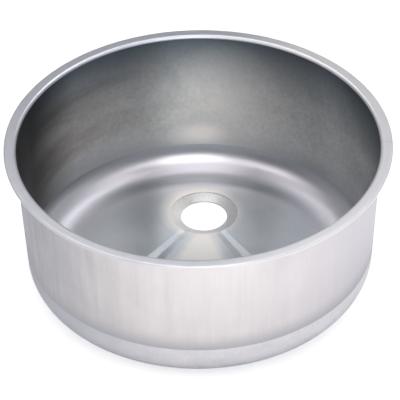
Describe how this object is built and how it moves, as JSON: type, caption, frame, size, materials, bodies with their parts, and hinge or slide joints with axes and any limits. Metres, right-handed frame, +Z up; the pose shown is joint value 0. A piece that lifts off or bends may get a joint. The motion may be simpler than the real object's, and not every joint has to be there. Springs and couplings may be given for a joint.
{
  "type": "round sink",
  "caption": "Round stainless sink bowl with a narrow flat rim, coved base and an open waste outlet towards the back.",
  "frame": {"origin": "centre of the rim's plan, on the level of the lowest edge, under the waste hole", "axes": "+Z up along the bowl's axis, -Y towards the front, +X to the right"},
  "size_m": [0.36, 0.36, 0.1571],
  "materials": {
    "satin_rim": "satin",
    "brushed_wall": "brushed",
    "mill_base": "satin inside, mill finish outside",
    "pressed_seat": "satin",
    "weld_metal": "dressed weld"
  },
  "bodies": {
    "root": {"rim_ring": "satin_rim", "rim_seam": "weld_metal", "rim_weld": "weld_metal", "wall_band": "brushed_wall", "wall_seam": "weld_metal", "base_weld": "weld_metal", "base_pan": "mill_base", "outlet_seat": "pressed_seat", "outlet_weld": "weld_metal"}
  },
  "joints": []
}
